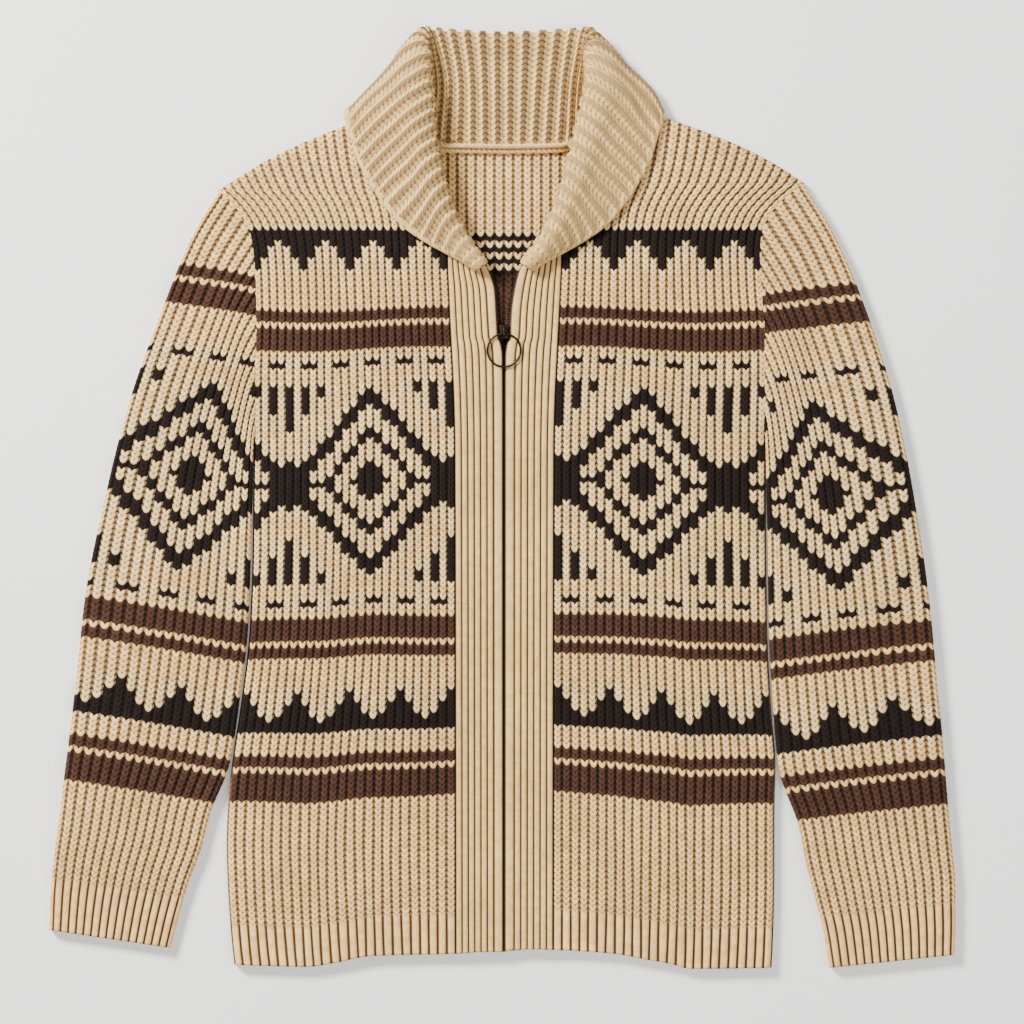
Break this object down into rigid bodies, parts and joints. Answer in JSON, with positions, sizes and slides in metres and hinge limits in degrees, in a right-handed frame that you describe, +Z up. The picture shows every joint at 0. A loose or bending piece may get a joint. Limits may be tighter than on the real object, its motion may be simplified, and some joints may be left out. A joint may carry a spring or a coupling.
{
  "type": "zip cardigan",
  "caption": "Ribbed knit cardigan laid flat, front up, with a wide shawl collar rolled open, a full-length zip between ribbed bands, a round ring pull and long sleeves.",
  "frame": {"origin": "centre of the garment's box on the surface that it lies on", "axes": "+X to the right as seen from above, +Y from the hem to the collar, +Z up from the surface, towards the front of the garment"},
  "size_m": [0.7726, 0.7998, 0.0314],
  "materials": {
    "ribbed_knit": "thick ribbed knit, figured in dark brown and near black",
    "band_knit": "thick plain ribbed knit",
    "woven_tape": "dark woven zip tape",
    "dark_bronze": "dark antique bronze plating"
  },
  "bodies": {
    "garment": {"back_panel": "ribbed_knit", "front_panel_left": "ribbed_knit", "front_panel_right": "ribbed_knit", "sleeve_left": "ribbed_knit", "sleeve_right": "ribbed_knit", "front_band_left": "band_knit", "front_band_right": "band_knit", "collar": "band_knit", "neck_cord_upper": "band_knit", "neck_cord_lower": "band_knit", "zip_tape_left": "woven_tape", "zip_tape_right": "woven_tape", "zip_slider": "dark_bronze", "zip_bottom_box": "dark_bronze"},
    "pull_ring": {"zip_pull_ring": "dark_bronze"}
  },
  "joints": [
    {"name": "pull_ring_swing", "type": "hinge", "parent": "garment", "child": "pull_ring", "pos_m": [0.0013, 0.13998, 0.0123], "axis": [-1, 0, 0], "range_deg": [0, 175]}
  ]
}
